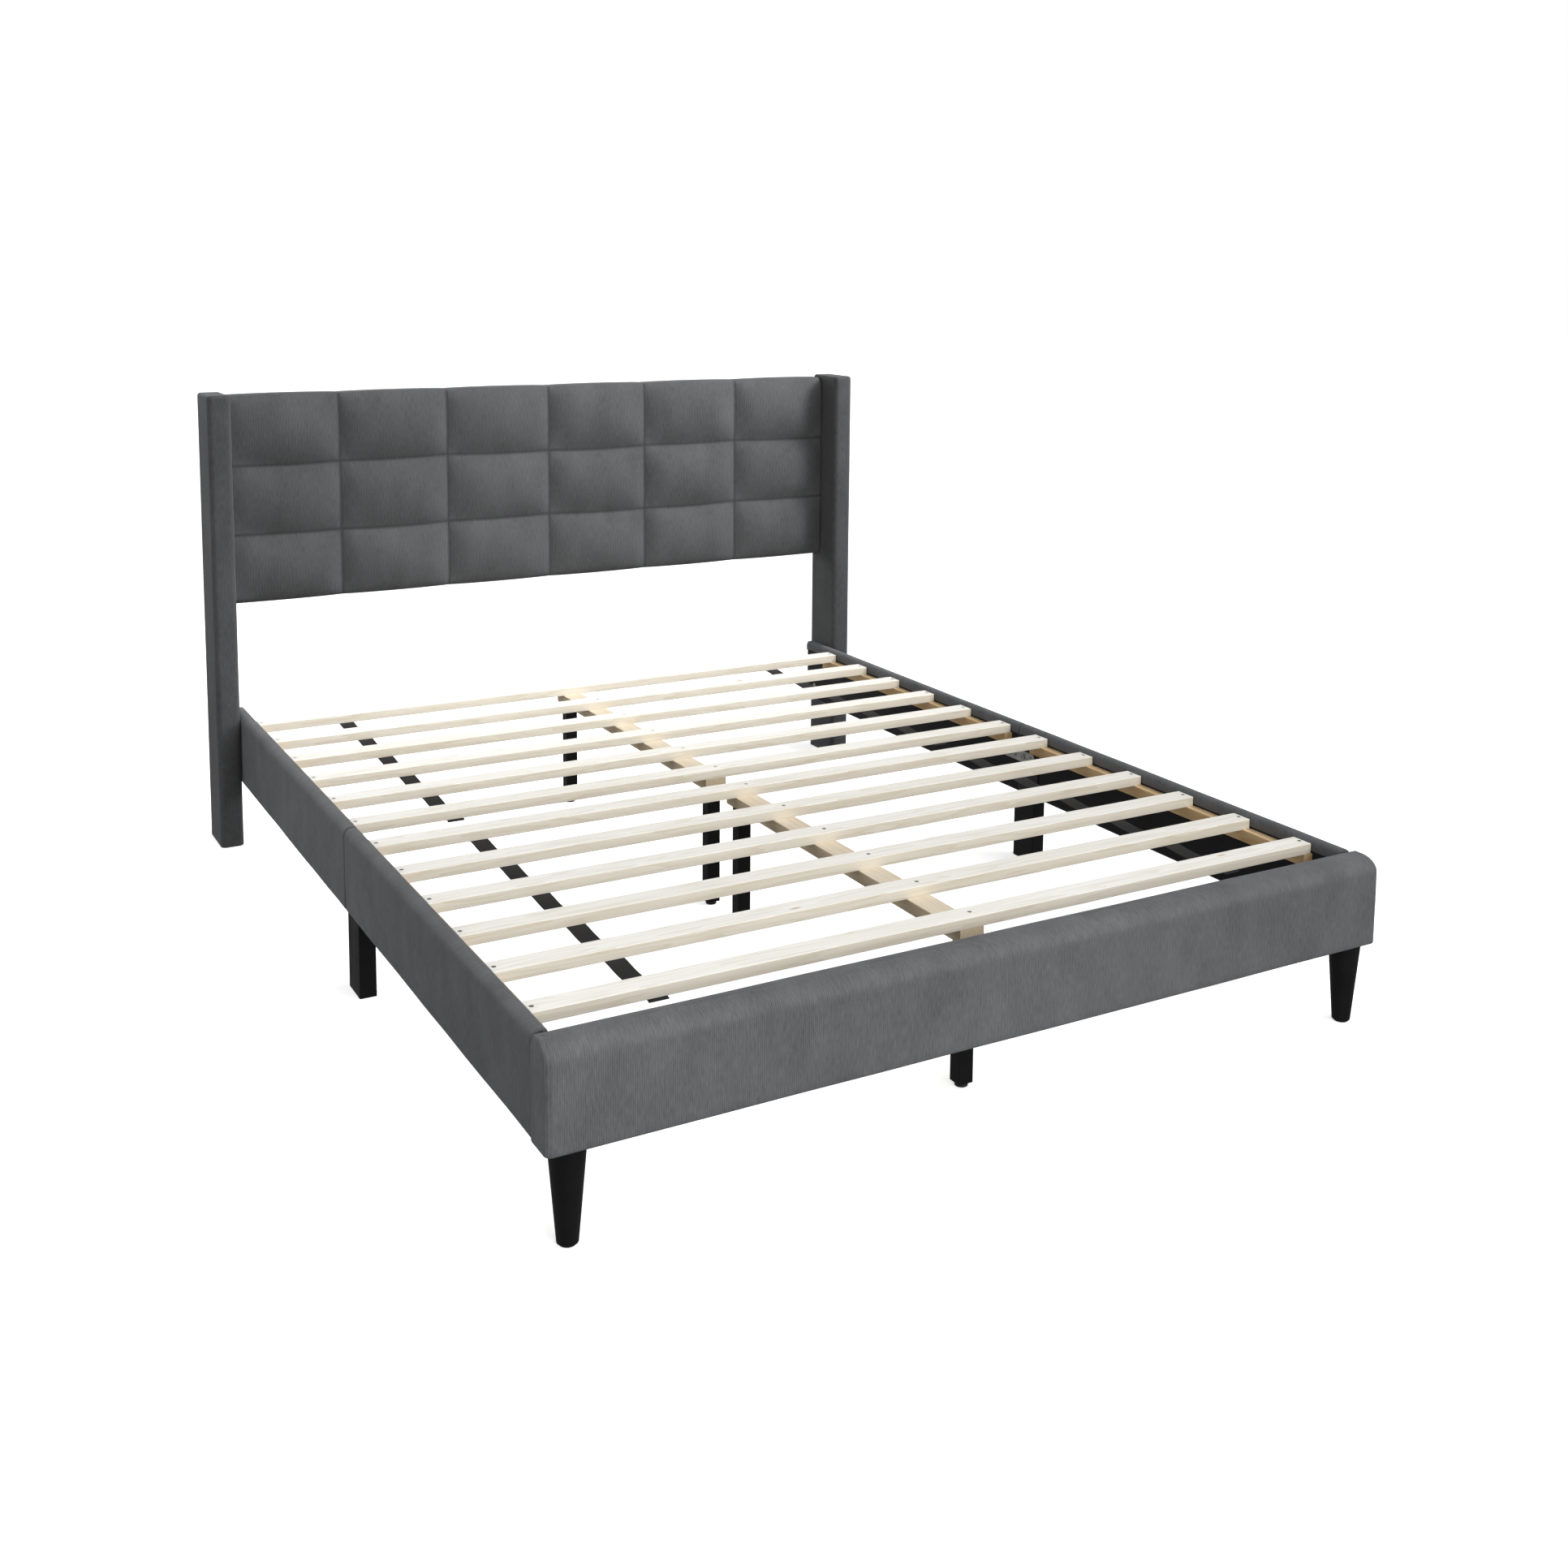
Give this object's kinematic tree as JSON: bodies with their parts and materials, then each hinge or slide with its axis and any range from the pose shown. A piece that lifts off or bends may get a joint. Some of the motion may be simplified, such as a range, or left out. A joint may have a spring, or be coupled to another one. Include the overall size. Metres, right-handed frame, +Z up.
{
  "type": "upholstered bed frame",
  "caption": "Double bed frame in grey corduroy: tall padded headboard of stitched squares between wing posts, padded rails, pine slats and black legs.",
  "frame": {"origin": "on the floor, at the middle of the bed outline", "axes": "+Z up, +Y towards the head end, +X across the bed to the right seen from the foot end"},
  "size_m": [1.79, 2.15, 1.11],
  "materials": {
    "grey_corduroy": "fine vertical ribs, soft pile",
    "black_lining": "non-woven lining",
    "black_webbing": "woven webbing",
    "slat_pine": "pale planed pine",
    "knotty_pine": "warm sawn pine",
    "frame_timber": "sawn timber",
    "engineered_board": "raw board",
    "black_leg": "satin black paint",
    "glide_plastic": "moulded",
    "zinc_steel": "zinc plated",
    "black_steel": "powder coat"
  },
  "bodies": {
    "bed_frame": {"centre_beam_foot": "knotty_pine", "centre_beam_head": "knotty_pine", "centre_leg_1": "black_leg", "centre_leg_2": "black_leg", "centre_leg_3": "black_leg", "centre_leg_4": "black_leg", "foot_corner_brackets": "black_steel", "footboard_cover": "grey_corduroy", "footboard_frame": "frame_timber", "footboard_lining": "black_lining", "frame_bolts": "zinc_steel", "headboard_back_cover": "black_lining", "headboard_board": "engineered_board", "headboard_frame": "frame_timber", "headboard_pad": "grey_corduroy", "left_front_leg": "black_leg", "left_ledger_foot": "knotty_pine", "left_ledger_head": "knotty_pine", "left_mid_leg": "black_leg", "left_rail_board_foot": "engineered_board", "left_rail_board_head": "engineered_board", "left_rail_cover_foot": "grey_corduroy", "left_rail_cover_head": "grey_corduroy", "left_wing_cover": "grey_corduroy", "left_wing_post": "frame_timber", "leg_studs": "zinc_steel", "mid_leg_brackets": "black_steel", "rail_joiners": "zinc_steel", "rail_linings": "black_lining", "right_front_leg": "black_leg", "right_ledger_foot": "knotty_pine", "right_ledger_head": "knotty_pine", "right_mid_leg": "black_leg", "right_rail_board_foot": "engineered_board", "right_rail_board_head": "engineered_board", "right_rail_cover_foot": "grey_corduroy", "right_rail_cover_head": "grey_corduroy", "right_wing_cover": "grey_corduroy", "right_wing_post": "frame_timber", "slat_01": "slat_pine", "slat_02": "slat_pine", "slat_03": "slat_pine", "slat_04": "slat_pine", "slat_05": "slat_pine", "slat_06": "slat_pine", "slat_07": "slat_pine", "slat_08": "slat_pine", "slat_09": "slat_pine", "slat_10": "slat_pine", "slat_11": "slat_pine", "slat_12": "slat_pine", "slat_screws": "zinc_steel", "slat_straps_foot": "black_webbing", "slat_straps_head": "black_webbing"},
    "levelling_glide_1": {"levelling_glide_1": "glide_plastic"},
    "levelling_glide_2": {"levelling_glide_2": "glide_plastic"},
    "levelling_glide_3": {"levelling_glide_3": "glide_plastic"},
    "levelling_glide_4": {"levelling_glide_4": "glide_plastic"}
  },
  "joints": [
    {"name": "levelling_glide_1_screw", "type": "slide", "parent": "bed_frame", "child": "levelling_glide_1", "axis": [0, 0, -1], "range_m": [0, 0.012]},
    {"name": "levelling_glide_2_screw", "type": "slide", "parent": "bed_frame", "child": "levelling_glide_2", "axis": [0, 0, -1], "range_m": [0, 0.012]},
    {"name": "levelling_glide_3_screw", "type": "slide", "parent": "bed_frame", "child": "levelling_glide_3", "axis": [0, 0, -1], "range_m": [0, 0.012]},
    {"name": "levelling_glide_4_screw", "type": "slide", "parent": "bed_frame", "child": "levelling_glide_4", "axis": [0, 0, -1], "range_m": [0, 0.012]}
  ]
}
